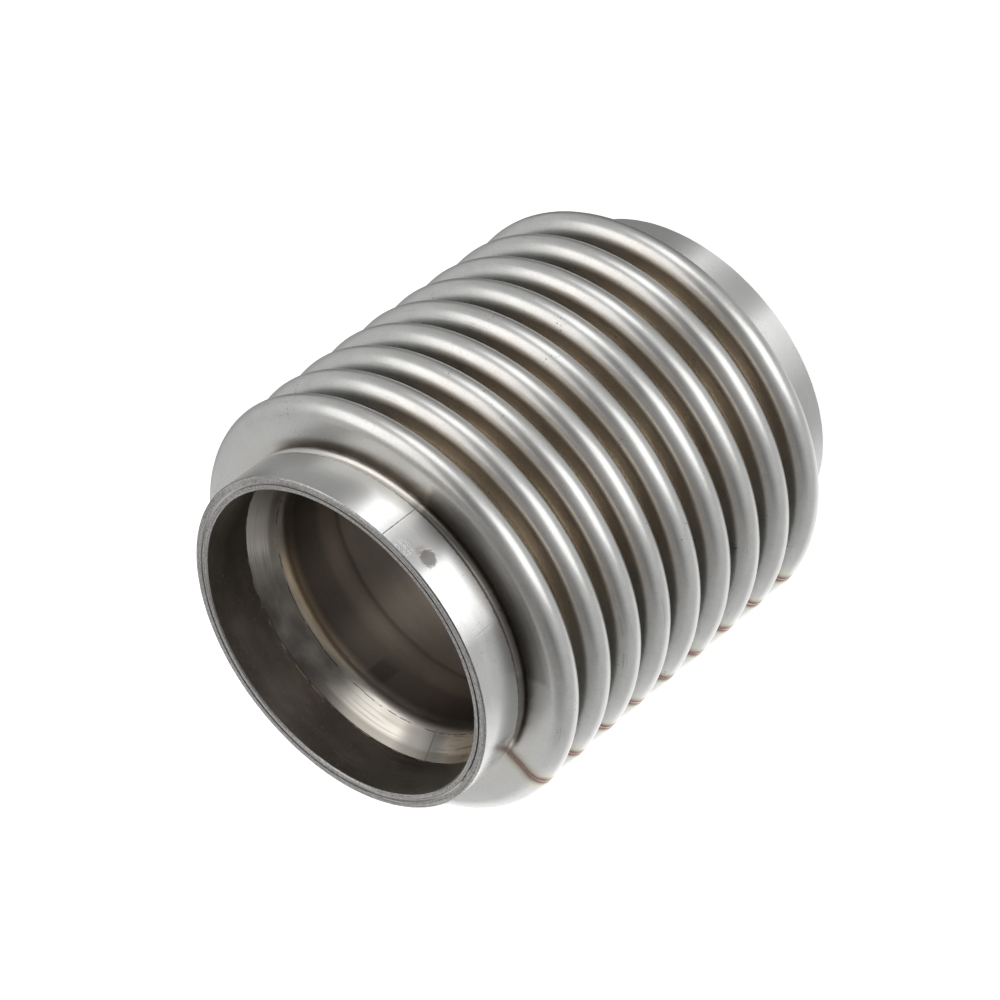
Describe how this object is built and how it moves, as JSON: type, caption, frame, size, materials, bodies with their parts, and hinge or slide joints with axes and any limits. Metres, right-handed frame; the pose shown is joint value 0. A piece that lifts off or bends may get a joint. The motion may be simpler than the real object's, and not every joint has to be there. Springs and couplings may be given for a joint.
{
  "type": "exhaust flex pipe",
  "caption": "Short bare metal bellows with round convolutions, a plain double-walled pipe end at each side and a flared flow liner inside, for joining exhaust pipes.",
  "frame": {"origin": "centre of the lower rim, in the plane that the pipe stands on", "axes": "+Z along the pipe's axis, up through both ends; X and Y are across the pipe and equal"},
  "size_m": [0.0874, 0.0874, 0.1],
  "materials": {
    "bellows_steel": "satin, drawn and annealed",
    "collar_steel": "fine grain round the ring",
    "sleeve_steel": "mill finish",
    "liner_steel": "mill finish, fine grain round the flare"
  },
  "bodies": {
    "root": {"bellows": "bellows_steel", "lower_collar": "collar_steel", "upper_collar": "collar_steel", "lower_sleeve": "sleeve_steel", "upper_sleeve": "sleeve_steel", "flow_liner": "liner_steel"}
  },
  "joints": []
}
